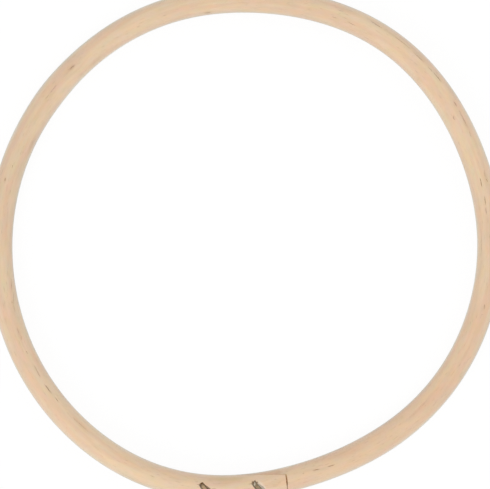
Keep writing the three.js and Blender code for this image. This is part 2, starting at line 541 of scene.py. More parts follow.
@dataclass(frozen=True)
class Staple:
    """A narrow-crown wire staple, and the dent that it was driven into.

    Its own axes are x along the crown, y across the wire and z out of the cane, from the crown's top. It
    sits at the joint's left end, -1, or its right end, 1, slanted and rolled by so many degrees.
    """

    joint: ScarfJoint
    name: str
    end: int
    slant: float
    roll: float
    sunk: float
    dust: float
    # How dark the first shoulder is painted with soot and shade.
    soot_and_shade: float
    bed: Dent
    smudges: tuple[Smudge, ...]
    deepest: float = 0.6
    crown: float = 5.2
    cover: float = 1.0
    to_tip: float = 8.1
    wire_width: float = 1.25
    wire_thickness: float = 1.0
    shoulder: float = 0.8
    bend: float = 0.2
    bend_steps: int = 6
    point: float = 0.7
    edge_round: float = 0.28
    slices: int = 52
    rows: int = 12
    hammering: float = 0.025
    hole_grow: float = 0.02
    dent_corner: float = 0.48
    dent_grow: float = 0.02
    dent_narrowing: float = 0.62
    dent_cuts: int = 9
    dent_raggedness: float = 0.35
    dent_clearance: float = 6.0
    # Where the painted glint sits on the crown's first shoulder, and its length and width.
    glint_back: float = 0.45
    glint_side: float = 0.12
    glint_length: float = 0.5
    glint_width: float = 0.12
    # Where the pale lip and its painted highlight lie beside the dent and along the crown.
    lip_beside: Band = Band(-0.2, 0.0, 0.35, 0.8)
    lip_middle: float = -0.5

    @cached_property
    def seat(self) -> Matrix:
        """Where the middle of the crown's top sits, and how the staple is turned."""
        line = self.joint.line
        turn = self.joint.turn(self.end * (self.joint.half - self.to_tip))
        return (
            Matrix.Translation(line.place(turn, 0, 0))
            @ Matrix.Rotation(turn, 4, "Z")
            @ Matrix.Rotation(math.radians(self.roll), 4, "Y")
            @ Matrix.Translation((0, 0, line.cane_diameter / 2 - self.sunk))
            @ Matrix.Rotation(math.radians(90 - self.slant), 4, "Z")
        )

    @cached_property
    def unseat(self) -> Matrix:
        """From the hoop to the staple's own axes."""
        return self.seat.inverted()

    @property
    def leg(self) -> float:
        """Length of a leg from the crown's top to its point."""
        return self.joint.line.cane_diameter - self.cover - self.deepest

    def arc(self, x: float, z: float, radius: float, start: float, end: float) -> list[Vector]:
        """One bend of the staple's outline.

        Args:
            x: The bend's middle along the crown.
            z: The bend's middle out of the cane.
            radius: Its radius.
            start: Its first angle in degrees.
            end: Its last one.

        Returns:
            The points of the bend.
        """
        points = []
        for i in range(self.bend_steps + 1):
            angle = math.radians(start + (end - start) * i / self.bend_steps)
            points.append(Vector((x + radius * math.cos(angle), 0, z + radius * math.sin(angle))))
        return points

    def outline(self, grow: float) -> list[Vector]:
        """The staple seen square on: the crown, and two legs with blunt points.

        Args:
            grow: How much it is grown all round.

        Returns:
            The points of its outline.
        """
        half = self.crown / 2 + grow
        wire = self.wire_thickness + 2 * grow
        shoulder = self.shoulder + grow
        bend = self.bend - grow
        tip = -self.leg - grow
        right = [
            Vector((half, 0, tip + self.point)),
            Vector((half - wire / 2, 0, tip)),
            Vector((half - wire, 0, tip + self.point)),
        ]
        left = [Vector((-point.x, 0, point.z)) for point in reversed(right)]
        points = self.arc(half - shoulder, grow - shoulder, shoulder, 90, 0) + right
        points += self.arc(half - wire - bend, grow - wire - bend, bend, 0, 90)
        points += self.arc(wire + bend - half, grow - wire - bend, bend, 90, 180) + left
        points += self.arc(shoulder - half, grow - shoulder, shoulder, 180, 90)
        return points

    def blank(self, grow: float) -> bmesh.types.BMesh:
        """The staple in its own axes, with the wire's edges rounded.

        Args:
            grow: How much it is grown all round.

        Returns:
            The staple as a closed mesh.
        """
        mesh = slab(self.outline(grow), self.wire_width + 2 * grow)
        face_outwards(mesh)
        bmesh.ops.bevel(
            mesh,
            geom=[edge for edge in mesh.edges if abs(edge.verts[0].co.y - edge.verts[1].co.y) < 1e-6],
            offset=self.edge_round,
            affect="EDGES",
            segments=3,
            profile=0.5,
            material=-1,
        )
        return mesh

    def hole(self) -> bmesh.types.BMesh:
        """What the staple itself takes out of the cane.

        Returns:
            The cutter as a closed mesh.
        """
        mesh = self.blank(self.hole_grow)
        bmesh.ops.triangulate(mesh, faces=mesh.faces[:])
        bmesh.ops.transform(mesh, matrix=self.seat, verts=mesh.verts[:])
        dress(mesh, CaneFace.CRUSHED)
        return mesh

    def dent_spread(self, local: Vector) -> float:
        """How far the dent spreads past the wire beside a point in the staple's own axes."""
        side = self.bed.right if local.y > 0 else self.bed.left
        return side.spread * (1 - self.dent_narrowing * min(abs(2 * local.x / self.crown), 1) ** 1.3)

    def dent(self) -> bmesh.types.BMesh:
        """The crushed hollow over the crown, flaring towards the surface of the cane.

        Returns:
            The cutter as a closed mesh.
        """
        length = self.crown + 2 * self.dent_grow
        width = self.wire_width + 2 * self.dent_grow
        mesh = bmesh.new()
        bmesh.ops.create_grid(mesh, x_segments=1, y_segments=1, size=0.5)
        bmesh.ops.scale(mesh, verts=mesh.verts[:], vec=(length, width, 1))
        bmesh.ops.bevel(
            mesh,
            geom=mesh.verts[:],
            offset=self.dent_corner,
            affect="VERTICES",
            segments=4,
            profile=0.5,
            material=-1,
        )
        sides = [edge for edge in mesh.edges if edge.calc_length() > 0.3]
        bmesh.ops.subdivide_edges(mesh, edges=sides, cuts=self.dent_cuts)
        left, right = self.bed.left.depth, self.bed.right.depth
        for vert in mesh.verts:
            at_end = smooth_step(0.7, 1, -2 * vert.co.x / self.crown)
            depth = self.bed.between(vert.co.y, left, right)
            vert.co.z = -depth - (max(left, right) - depth) * at_end * smooth_step(-0.5, 0, vert.co.y)
            vert.co.x -= self.bed.first_end * at_end
        lid = mesh.faces[:]
        # Each level is a height from the crown's top and how far the dent has flared there.
        heights = [(-0.35 * min(left, right), 0.55), (0.35, 1.0), (self.dent_clearance, 1.0)]
        for level, (height, flare) in enumerate(heights):
            copied = bmesh.ops.extrude_face_region(mesh, geom=lid)["geom"]
            if level > 0:
                bmesh.ops.delete(mesh, geom=lid, context="FACES_ONLY")
            lid = [part for part in copied if isinstance(part, bmesh.types.BMFace)]
            for vert in verts_of(copied):
                waver = soft_noise(vert.co.x * 2.1, vert.co.y * 2.1, self.end * 3.0 + height)
                ragged = (1 + self.dent_raggedness * waver) * self.dent_spread(vert.co)
                away = Vector((max(abs(vert.co.x) - self.crown / 2 + 0.6, 0), abs(vert.co.y), 0))
                side = Vector((math.copysign(away.x, vert.co.x), math.copysign(away.y, vert.co.y), 0))
                if side.length > 0:
                    vert.co += side.normalized() * flare * ragged
                vert.co.z = height
        bmesh.ops.triangulate(mesh, faces=mesh.faces[:])
        face_outwards(mesh)
        bmesh.ops.transform(mesh, matrix=self.seat, verts=mesh.verts[:])
        dress(mesh, CaneFace.CRUSHED)
        return mesh

    def distance(self, point: Vector) -> float:
        """How far a point of the surface is from the sides of the crown, seen from above it.

        Args:
            point: A point of the hoop.

        Returns:
            The distance, which is negative over the crown.
        """
        local = self.unseat @ point
        if local.z < FAR_SIDE:
            return OUT_OF_REACH
        beyond_end = abs(local.x) - self.crown / 2
        beyond_side = abs(local.y) - self.wire_width / 2
        outside = math.hypot(max(beyond_end, 0), max(beyond_side, 0))
        return outside if outside > 0 else max(beyond_end, beyond_side)

    def grime(self, point: Vector) -> float:
        """How dark the dent is painted with dirt and shade, where one of its sides may be lighter than the
        other.

        Args:
            point: A point of the hoop.

        Returns:
            The share of dirt and painted shade there, up to 1 at the dent's first end.
        """
        local = self.unseat @ point
        dirt = self.bed.between(local.y, self.bed.left.grime, self.bed.right.grime)
        end = self.bed.between(local.y, -0.2, 0.45) - self.crown / 2
        return 1 - (1 - dirt) * smooth_step(end, end + 0.5, local.x)

    def smudged(self, point: Vector) -> float:
        """How dark the smudges of dirt and painted shade are on the wood at a point."""
        local = self.unseat @ point
        return min(sum(smudge.at(local) for smudge in self.smudges), 1.0) if local.z > FAR_SIDE else 0.0

    def lip_paleness_and_highlight(self, point: Vector) -> float:
        """How pale the lip is that the staple pushed up along one side of its dent: paler crushed fibres
        and a painted highlight.

        Args:
            point: A point of the hoop.

        Returns:
            How pale it is painted there.
        """
        local = self.unseat @ point
        if local.z <= FAR_SIDE:
            return 0.0
        beside = self.lip_beside.at(local.y - self.wire_width / 2 - self.dent_spread(local))
        between = 1 - smooth_step(0.8, 2.0, abs(local.x - self.lip_middle))
        ragged = 0.8 + 0.6 * soft_noise(local.x * 2.0, local.y * 2.0, 8.0)
        return self.bed.lip * beside * between * ragged

    def painted_glint(self, place: Vector) -> float:
        """How bright the painted glint is on the crown's first shoulder, a slanting streak of near-white
        colour.

        Args:
            place: A point of the wire in the staple's own axes.

        Returns:
            The brightness.
        """
        if place.z <= -0.6:
            return 0.0
        away = Vector((place.x + self.crown / 2 - self.glint_back, place.y - self.glint_side))
        along = away.dot(Vector((-0.76, 0.65))) / self.glint_length
        across = away.dot(Vector((0.65, 0.76))) / self.glint_width
        return (0.9 - self.dust) * math.exp(-along * along - across * across)

    def soot_and_shade_depth(self, place: Vector) -> float:
        """How dark the wire is painted with soot and shade at its first shoulder and in its smudges.

        Args:
            The crushed fibres inside a staple's dent, mixed towards dark browns for dirt and painted
            shade.

        Returns:
            The darkness, up to 1.
        """
        gathered = self.soot_and_shade * smooth_step(self.crown / 2 - 1.1, self.crown / 2 - 0.3, -place.x)
        return min(gathered + sum(smudge.at(place) for smudge in self.smudges), 1.0)

    def build(self, steel: bpy.types.Material) -> bpy.types.Object:
        """The finished staple, which stands for its node.

        Args:
            steel: The finish of its wire.

        Returns:
            The staple's object.
        """
        mesh = self.blank(0)
        for i in range(1, self.slices):
            point = (self.crown * (i / self.slices - 0.5), 0, 0)
            bmesh.ops.bisect_plane(mesh, geom=whole(mesh), plane_co=point, plane_no=(1, 0, 0))
        for i in range(1, self.rows):
            point = (0, self.wire_width * (i / self.rows - 0.5), 0)
            bmesh.ops.bisect_plane(mesh, geom=whole(mesh), plane_co=point, plane_no=(0, 1, 0))
        for vert in mesh.verts:
            knock = soft_noise(vert.co.x * 1.7, vert.co.y * 1.7, self.end * 5.0 + vert.co.z)
            vert.co.z += self.hammering * knock * smooth_step(-1.2, 0, vert.co.z)
        face_outwards(mesh)
        stored = {
            "glint": [self.painted_glint(vert.co) for vert in mesh.verts],
            "soot_and_shade": [self.soot_and_shade_depth(vert.co) for vert in mesh.verts],
            "dust": [self.dust for _ in mesh.verts],
        }
        bmesh.ops.transform(mesh, matrix=self.seat, verts=mesh.verts[:])
        wire = mesh_of(mesh, [steel])
        store(wire, stored)
        piece = finish_piece(wire, f"{self.name}_wire")
        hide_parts(self.name)
        return piece


@dataclass(frozen=True)
class Check:
    """A drying check: a hairline split that follows the fibres.

    Its path is a list of places: the angle round the hoop in degrees, and the distance out from the middle
    of the cane.
    """

    path: tuple[tuple[float, float], ...]
    width: float = 0.16
    depth: float = 0.28
    below: bool = False


@dataclass(frozen=True)
class Blot:
    """A soft brown darkening of the skin: mostly a stain, in one place painted shade.

    It has an angle round the hoop in degrees, a distance out from the middle of the cane, a reach along
    the cane, a width across it and a depth of colour.
    """

    turn: float
    out: float
    reach: float
    width: float
    depth: float

    def at(self, line: HoopLine, turn: float, out: float) -> float:
        """How dark the blot is at a place on the hoop.

        Args:
            line: The centre line of the cane.
            turn: Angle round the hoop.
            out: Distance outwards from the cane's axis.

        Returns:
            The darkness.
        """
        along = turned_from(turn, self.turn) * line.mean_radius / self.reach
        across = (out - self.out) / self.width
        square = along * along + across * across
        return self.depth * math.exp(-square) if square < 9 else 0.0


@dataclass(frozen=True)
class Stretch:
    """A length of the hoop whose wood is a little paler, darker or rosier than the rest.

    It has its middle and its reach in degrees, and how much paler and rosier it is at its middle. Where it
    is darker, its paleness is negative.
    """

    turn: float
    reach: float
    pale: float
    rosy: float

    def share(self, turn: float) -> float:
        """How strongly it shows at an angle round the hoop."""
        degrees = math.degrees(turned_from(turn, self.turn))
        return math.exp(-((degrees / self.reach) ** 2))


CHECKS = (
    Check(((15.6, -0.35), (14.8, -0.3), (14.0, -0.5), (13.2, -0.4)), 0.2),
    Check(((17.0, 1.7), (16.2, 1.4), (15.4, 1.3)), 0.1),
    Check(((15.0, 1.25), (14.4, 1.5), (14.0, 1.7)), 0.12),
    Check(((11.2, -0.3), (9.9, -0.45), (8.9, -0.5)), 0.13),
    Check(((8.5, -0.55), (7.6, -0.65), (6.8, -0.65)), 0.11),
    Check(((3.6, -2.6), (359.8, -2.75), (357.4, -2.65)), 0.06),
    Check(((31.3, -0.4), (30.8, -0.75), (30.3, -0.7)), 0.1),
    Check(((34.2, 1.75), (33.4, 1.85), (32.6, 1.75)), 0.14),
    Check(((31.8, 1.75), (30.6, 1.7), (29.2, 1.65), (27.4, 1.7)), 0.1),
    Check(((26.6, 1.65), (25.8, 1.5), (25.0, 1.4)), 0.08),
    Check(((43.8, 1.85), (43.0, 1.95), (42.2, 1.8)), 0.1),
    Check(((41.9, 2.0), (40.6, 2.05), (39.2, 2.0)), 0.15),
    Check(((60.4, 2.25), (58.8, 2.0), (57.0, 2.0)), 0.11),
    Check(((54.2, 1.9), (51.6, 2.0), (49.2, 1.95)), 0.09),
    Check(((48.4, 1.9), (46.6, 1.85), (45.0, 1.95)), 0.1),
    Check(((64.9, -1.0), (63.9, -1.1), (62.9, -1.15)), 0.09),
    Check(((68.8, -1.2), (67.5, -1.1)), 0.08),
    Check(((99.8, -3.1), (98.9, -3.2), (98.0, -3.15)), 0.12),
    Check(((133.5, 0.42), (134.3, 0.59), (135.1, 0.42)), 0.12, 0.4),
    Check(((139.6, 0.25), (140.8, 0.36), (142.4, 0.2)), 0.05),
    Check(((142.8, 0.22), (144.2, 0.4)), 0.06),
    Check(((161.2, -0.05), (162.0, -0.2)), 0.12),
    Check(((164.6, 0.9), (165.5, 0.7)), 0.15),
    Check(((188.6, -3.0), (190.0, -2.85), (191.3, -2.6)), 0.1),
    Check(((191.9, -2.95), (193.4, -2.75), (194.8, -2.45)), 0.11),
    Check(((193.7, -2.2), (194.7, -1.9)), 0.09),
    Check(((200.6, -1.5), (202.0, -1.45)), 0.09),
    Check(((202.4, -1.75), (203.6, -1.4)), 0.1),
    Check(((206.2, -1.5), (207.2, -1.45)), 0.09),
    Check(((210.4, -1.65), (212.2, -1.5), (213.4, -1.45)), 0.08),
    Check(((215.3, -1.35), (216.4, -1.5), (217.2, -1.5), (218.1, -1.6)), 0.17, 0.4),
    Check(((219.0, -1.65), (220.8, -1.6)), 0.12),
    Check(((225.4, -1.7), (228.0, -1.9), (230.4, -1.8)), 0.05),
    Check(((319.4, -1.0), (318.1, -0.95), (316.7, -1.0)), 0.03),
    Check(((315.6, -0.9), (313.5, -0.85)), 0.025),
    Check(((292.4, -0.15), (291.4, -0.2), (290.6, -0.3)), 0.17),
    Check(((284.1, -0.7), (284.9, -0.75)), 0.07),
    Check(((286.9, -0.75), (287.8, -0.65), (288.6, -0.5)), 0.15),
    Check(((289.2, -1.15), (289.9, -1.05)), 0.05),
    Check(((277.2, -1.15), (278.2, -1.0)), 0.05),
    Check(((306.0, -0.45), (306.6, -0.5)), 0.05),
    Check(((343.3, 0.35), (343.5, 0.8)), 0.08),
    Check(((344.6, 0.6), (345.9, 0.35)), 0.11),
    Check(((260.3, -0.98), (259.6, -0.88), (259.0, -0.78)), 0.17, 0.3),
    Check(((258.5, -1.55), (259.3, -1.6)), 0.06),
    Check(((259.2, -0.15), (259.8, -0.1)), 0.07),
    Check(((262.5, 0.2), (263.1, 0.1), (263.7, 0.05)), 0.14, 0.3),
    Check(((272.2, -0.95), (271.6, -0.9), (271.1, -0.9)), 0.1),
)

# The stains that can be seen from above, round the hoop from the right, and one painted shade below a
# check.
BLOTS = (
    Blot(5.6, -0.5, 1.2, 0.3, 0.4),
    Blot(7.9, -0.6, 1.0, 0.25, 0.5),
    Blot(10.1, -0.4, 1.3, 0.25, 0.5),
    Blot(15.2, 1.4, 1.4, 0.4, 0.5),
    Blot(21.0, 1.5, 0.6, 0.25, 0.3),
    Blot(28.4, 1.65, 2.4, 0.35, 0.45),
    Blot(30.8, -0.55, 0.6, 0.3, 0.5),
    Blot(33.4, 1.85, 0.9, 0.35, 0.6),
    Blot(36.0, 3.0, 2.6, 0.35, 0.4),
    Blot(43.2, -2.7, 1.3, 0.35, 0.4),
    Blot(41.0, 2.1, 2.2, 0.35, 0.5),
    Blot(46.8, 2.1, 3.4, 0.4, 0.6),
    Blot(48.5, 2.8, 7.0, 0.35, 0.5),
    Blot(52.8, 2.1, 2.6, 0.35, 0.4),
    Blot(55.4, 2.0, 2.0, 0.32, 0.5),
    Blot(59.4, 2.2, 2.4, 0.5, 0.5),
    Blot(58.9, -1.3, 0.8, 0.25, 0.3),
    Blot(68.0, 1.9, 3.0, 0.5, 0.25),
    Blot(74.4, -0.9, 0.5, 0.3, 0.35),
    Blot(78.0, -0.2, 1.6, 0.4, 0.25),
    Blot(78.0, -0.9, 3.6, 0.35, 0.25),
    Blot(98.8, -3.1, 1.2, 0.3, 0.6),
    Blot(107.0, -3.1, 2.6, 0.35, 0.35),
    Blot(109.4, 2.8, 1.8, 0.4, 0.4),
    Blot(129.2, -2.8, 2.0, 0.35, 0.35),
    Blot(133.8, -2.8, 0.8, 0.3, 0.35),
    # Painted shade below the check at 133.5 to 135.1 degrees.
    Blot(134.4, 0.48, 1.2, 0.45, 0.95),
    Blot(136.2, 0.35, 1.2, 0.3, 0.35),
    Blot(141.3, 0.3, 3.0, 0.35, 0.35),
    Blot(155.2, -2.9, 2.8, 0.4, 0.55),
    Blot(165.1, 0.8, 0.7, 0.3, 0.55),
    Blot(187.5, -2.1, 0.8, 0.3, 0.3),
    Blot(190.6, -2.7, 1.8, 0.3, 0.4),
    Blot(194.6, 0.5, 0.9, 0.3, 0.3),
    Blot(197.8, 1.1, 0.9, 0.3, 0.35),
    Blot(201.8, -1.5, 1.8, 0.35, 0.4),
    Blot(211.4, -1.5, 2.6, 0.4, 0.4),
    Blot(216.8, -1.5, 1.9, 0.35, 0.5),
    Blot(227.6, -1.8, 3.4, 0.5, 0.4),
    Blot(244.5, 2.9, 4.8, 0.4, 0.3),
    Blot(251.8, -0.3, 1.4, 0.35, 0.3),
    Blot(254.0, -1.3, 2.0, 0.4, 0.3),
    Blot(264.9, -2.1, 5.5, 0.8, 0.35),
    Blot(280.2, -1.9, 0.7, 0.5, 0.5),
    Blot(287.6, -0.6, 1.1, 0.3, 0.5),
    Blot(286.0, -1.15, 3.0, 0.3, 0.3),
    Blot(289.2, -0.25, 1.6, 0.3, 0.4),
    Blot(291.5, -0.2, 1.2, 0.3, 0.4),
    Blot(312.3, -2.3, 0.5, 0.4, 0.35),
    Blot(317.0, -0.9, 2.6, 0.3, 0.25),
    Blot(328.4, 2.5, 0.35, 0.35, 0.45),
    Blot(333.5, 0.5, 3.0, 0.35, 0.25),
    Blot(338.0, -2.0, 2.6, 0.35, 0.3),
    Blot(345.1, 0.5, 1.1, 0.3, 0.4),
    Blot(352.5, -2.8, 2.8, 0.35, 0.3),
    Blot(356.0, -2.5, 4.2, 0.35, 0.35),
)

# The stretches of paler, darker and rosier wood, round the hoop from the right.
STRETCHES = (
    Stretch(43, 26, 0.045, 0.0),
    Stretch(163, 22, -0.05, 0.0),
    Stretch(230, 18, 0.03, 0.0),
    Stretch(308, 34, -0.01, 1.0),
)


@dataclass(frozen=True)
class BentCane:
    """The bent cane itself, with its scarf cut, staple holes, dents and drying checks."""

    joint: ScarfJoint
    staples: tuple[Staple, ...]
    around: int = 64
    along: int = 900
    lengths: int = 12
    fine_reach: float = 17.0
    fine_above: float = 0.3
    fine_cuts: int = 2
    hollows: float = 0.05
    ridges: float = 0.035
    rim_start: float = 0.25
    rim_height: float = 0.07
    rim_reach: float = 0.45
    check_step: float = 0.6
    check_waver: float = 0.07
    check_overshoot: float = 0.12
    thinnest_check: float = 0.012
    shallowest_check: float = 0.02
    seed: int = 11
    hidden_checks: int = 26
    hidden_spans: tuple[float, float] = (1.5, 9)
    hidden_widths: tuple[float, float] = (0.07, 0.18)
    hidden_out: float = 3.4
    hidden_drift: float = 0.25
    hidden_depth: float = 0.22
    joint_degrees: float = 18
    smear_along: Band = Band(-8, -3, 0, 5)
    smear_up: Band = Band(1.4, 2.3, 2.6, 3.2)
    smear_inside: float = -1.5
    # Where the painted shadow and dirt below the seam lie, and how far inside the flank they start.
    seam_shadow_below: Band = Band(-0.02, 0.02, 0.6, 2.2)
    seam_shadow_inside: float = -1.2
    # Painted shade in the gap at the upper tip, and the reach and waver of the dark rim of bruises, dirt
    # and painted shade round each dent.
    gap_shadow: float = 0.2
    dark_rim_reach: float = 0.3
    dark_rim_waver: float = 0.14

    @property
    def line(self) -> HoopLine:
        """The centre line that the cane follows."""
        return self.joint.line

    def ring(self) -> bmesh.types.BMesh:
        """A plain closed ring of round cane, before its lobes.

        Returns:
            The ring as a closed mesh.
        """
        mesh = bmesh.new()
        stand = Matrix.Translation((self.line.mean_radius, 0, 0)) @ Matrix.Rotation(math.pi / 2, 4, "X")
        bmesh.ops.create_circle(
            mesh,
            cap_ends=False,
            segments=self.around,
            radius=self.line.cane_radius,
            matrix=stand,
        )
        bmesh.ops.spin(
            mesh,
            geom=mesh.verts[:] + mesh.edges[:],
            cent=(0, 0, 0),
            axis=(0, 0, 1),
            angle=FULL_TURN / self.lengths,
            steps=self.along // self.lengths,
        )
        length = whole(mesh)
        for i in range(1, self.lengths):
            copied = bmesh.ops.duplicate(mesh, geom=length)["geom"]
            turned = Matrix.Rotation(FULL_TURN * i / self.lengths, 3, "Z")
            bmesh.ops.rotate(mesh, verts=verts_of(copied), cent=(0, 0, 0), matrix=turned)
        bmesh.ops.remove_doubles(mesh, verts=mesh.verts[:], dist=0.001)
        face_outwards(mesh)
        return mesh

    def section(self, point: Vector) -> tuple[float, float, float]:
        """Finds a point of the plain ring.

        Args:
            point: The point.

        Returns:
            Its angle round the hoop, its distance out from the cane's axis and its angle round the
            section.
        """
        out = math.hypot(point.x, point.y) - self.line.mean_radius
        return math.atan2(point.y, point.x), out, math.atan2(point.z, out)

    def refine_joint(self, mesh: bmesh.types.BMesh) -> None:
        """Divides the top of the ring round the staples more finely.

        Args:
            mesh: The plain ring.
        """
        edges = {}
        for face in mesh.faces:
            middle = face.calc_center_median()
            along = self.joint.along(math.atan2(middle.y, middle.x))
            if abs(along) < self.fine_reach and middle.z > self.fine_above * self.line.cane_radius:
                edges |= dict.fromkeys(face.edges)
        bmesh.ops.subdivide_edges(mesh, edges=list(edges), cuts=self.fine_cuts, use_grid_fill=True)

    def skin_radius(self, length: float, around: float) -> float:
        """Radius of the peeled surface, which dips in broad hollows and between the ridges of the fibres.

        Args:
            length: Distance along the straight cane.
            around: Angle round the section of the cane.

        Returns:
            The radius.
        """
        side, top = math.cos(around), math.sin(around)
        hollow = 0.5 + 0.5 * soft_noise(length * 0.045, side * 1.3, top * 1.3)
        ridge = 0.5 + 0.5 * soft_noise(length * 0.035, side * 4.2, top * 4.2 + 9)
        return self.line.cane_radius - self.hollows * hollow - self.ridges * ridge

    def rim(self, point: Vector) -> float:
        """How far the surface is pushed up beside a staple's dent.

        Args:
            point: A point of the hoop.

        Returns:
            The height of the rim there.
        """
        nearest = min(staple.distance(point) for staple in self.staples)
        if nearest > self.rim_start + 4 * self.rim_reach:
            return 0.0
        away = max(nearest - self.rim_start, 0) / self.rim_reach
        ragged = 0.7 + 0.6 * soft_noise(point.x * 2.4, point.y * 2.4, 1.0)
        return self.rim_height * ragged * math.exp(-away * away)

    def shape(self, mesh: bmesh.types.BMesh) -> None:
        """Gives the plain ring its lobes and its uneven surface, and keeps it above the floor.

        Args:
            mesh: The plain ring.
        """
        for vert in mesh.verts:
            turn, _, around = self.section(vert.co)
            out = self.line.cane_radius * math.cos(around)
            up = self.line.cane_radius * math.sin(around)
            radius = self.skin_radius(self.joint.grain_length(turn, out, up), around)
            if abs(self.joint.along(turn)) < self.fine_reach and up > 0:
                radius += self.rim(self.line.place(turn, out, up))
            vert.co = self.line.place_round(turn, around, radius)
            vert.co.z = max(vert.co.z, 0)

    def sliver(self, mesh: bmesh.types.BMesh, check: Check) -> None:
        """Adds to a cutter the thin tapered wedge that opens one check.

        Args:
            mesh: The cutter.
            check: The check.
        """
        wrapped = [((turn + 180) % 360 - 180, out) for turn, out in check.path]
        length = math.radians(abs(wrapped[-1][0] - wrapped[0][0])) * self.line.mean_radius
        stations = max(4, math.ceil(length / self.check_step))
        loops = []
        for i in range(stations + 1):
            share = i / stations
            leg = share * (len(wrapped) - 1)
            first = min(int(leg), len(wrapped) - 2)
            (turn, out), (next_turn, next_out) = wrapped[first], wrapped[first + 1]
            turn += (next_turn - turn) * (leg - first)
            out += (next_out - out) * (leg - first)
            out += self.check_waver * soft_noise(turn * 1.3, out, 4.0)
            around = math.acos(max(-0.98, min(0.98, out / self.line.cane_radius)))
            around = -around if check.below else around
            swell = math.sqrt(max(math.sin(math.pi * share), 0.0))
            swell *= 0.75 + 0.35 * soft_noise(turn * 0.9, 2.0, out)
            wide = max(check.width * swell, self.thinnest_check)
            deep = max(check.depth * swell, self.shallowest_check)
            loops.append(self.sliver_section(mesh, math.radians(turn), around, wide, deep))
        for near, far in zip(loops, loops[1:]):
            bmesh.ops.bridge_loops(mesh, edges=near + far)
        for cap in (loops[0], loops[-1]):
            bmesh.ops.contextual_create(mesh, geom=cap)

    def sliver_section(
        self, mesh: bmesh.types.BMesh, turn: float, around: float, wide: float, deep: float
    ) -> list[bmesh.types.BMEdge]:
        """One four-sided section of a check's wedge, standing across the fibres.

        Args:
            mesh: The cutter that it is added to.
            turn: Angle round the hoop.
            around: Angle round the cane's section.
            wide: Width at the surface.
            deep: Depth below the surface.

        Returns:
            The section's edges.
        """
        radius = self.skin_radius(self.joint.grain_length(turn, 0, 0), around)
        made = bmesh.ops.create_circle(mesh, cap_ends=False, segments=4, radius=1)["verts"]
        for vert in made:
            sideways, inwards = vert.co.x, vert.co.y
            height = radius + inwards * deep + (self.check_overshoot if inwards > 0.5 else 0)
            angle = around + sideways * wide / 2 / radius
            vert.co = self.line.place_round(turn, angle, height)
        return list(dict.fromkeys(edge for vert in made for edge in vert.link_edges))

    def scattered_checks(self) -> list[Check]:
        """Small checks on the flanks and the underside, which the view from above doesn't show.

        Returns:
            The checks, none of them at the joint.
        """
        draw = random.Random(self.seed)
        checks = []
        for _ in range(self.hidden_checks):
            turn = draw.uniform(0, 360)
            span = draw.uniform(*self.hidden_spans)
            out = draw.uniform(-self.hidden_out, self.hidden_out)
            drift = draw.uniform(-self.hidden_drift, self.hidden_drift)
            wide = draw.uniform(*self.hidden_widths)
            away_from_joint = abs((turn - self.joint.angle + 180) % 360 - 180)
            if away_from_joint < self.joint_degrees or turn + span > 358:
                continue
            path = ((turn, out), (turn + span, out + drift))
            checks.append(Check(path, wide, self.hidden_depth, below=True))
        return checks

    def splits(self) -> bmesh.types.BMesh:
        """The wedges of all the checks as one cutter.

        Returns:
            The cutter, with each wedge a closed mesh.
        """
        mesh = bmesh.new()
        for check in [*CHECKS, *self.scattered_checks()]:
            self.sliver(mesh, check)
        bmesh.ops.triangulate(mesh, faces=mesh.faces[:])
        face_outwards(mesh)
        dress(mesh, CaneFace.CHECK)
        return mesh

    def lift_tip(self, mesh: bpy.types.Mesh) -> None:
        """Springs the upper lap's tip a little clear of the end that it lies on.

        Args:
            mesh: The cut cane.
        """
        start = self.joint.half - self.joint.lift_reach
        for vert in mesh.vertices:
            turn, out, up = self.line.locate(vert.co)
            along = self.joint.along(turn)
            if abs(along) > self.joint.half + 1 or not self.joint.on_upper_lap(along, out, up):
                continue
            vert.co.z += self.joint.tip_lift * smooth_step(start, self.joint.half, along)

    def glue_smear(self, turn: float, out: float, up: float) -> float:
        """How thickly the glue that was wiped off the seam stains the inner flank of the joint.

        Args:
            turn: Angle round the hoop.
            out: Distance outwards from the cane's axis.
            up: Height above it.

        Returns:
            The strength of the stain.
        """
        along = self.joint.along(turn)
        if out > self.smear_inside or abs(along) > self.fine_reach:
            return 0.0
        ragged = 0.75 + 0.5 * soft_noise(along * 0.5, up * 0.9, 2.0)
        return self.smear_along.at(along) * self.smear_up.at(up) * ragged

    def soil_and_shade(self, point: Vector, turn: float, out: float, up: float) -> float:
        """How dark the skin is painted round the staples, with bruises, dirt and painted shade, and the
        painted shade in the gap at the upper tip.

        Args:
            point: The point.
            turn: Its angle round the hoop.
            out: Its distance outwards from the cane's axis.
            up: Its height above the axis.

        Returns:
            The darkness, up to 1.
        """
        along = self.joint.along(turn)
        if abs(along) > self.fine_reach:
            return 0.0
        # Painted shade in the gap at the upper tip, darker the deeper the point lies.
        if self.joint.in_tip_gap(along, out):
            depth = self.line.cane_radius - math.hypot(out, up)
            return self.gap_shadow * smooth_step(-0.02, 0.3, depth) * (1 - smooth_step(1.0, 2.2, out))
        # Round the staples: a ragged rim of bruises, dirt and painted shade, and the smudges.
        nearest = min(self.staples, key=lambda staple: staple.distance(point))
        reach = self.dark_rim_reach + self.dark_rim_waver * soft_noise(point.x * 3.1, point.y * 3.1, 6.0)
        rim = 1 - smooth_step(0.0, reach, nearest.distance(point))
        return smooth_step(-1.5, 0.5, up) * max(rim * nearest.grime(point), nearest.smudged(point))

    def shade(self, turn: float, out: float, up: float) -> float:
        """How much painted shadow and dirt darken the lower end's inner flank, in a soft band along the
        seam.

        Args:
            turn: Angle round the hoop.
            out: Distance outwards from the cane's axis.
            up: Height above it.

        Returns:
            The strength of the painted shadow and dirt.
        """
        if out > self.seam_shadow_inside:
            return 0.0
        along = self.joint.along(turn)
        half = self.joint.half
        below = -self.joint.above_cut(along, out, up)
        return self.seam_shadow_below.at(below) * Band(-4, 6, half - 2, half).at(along)

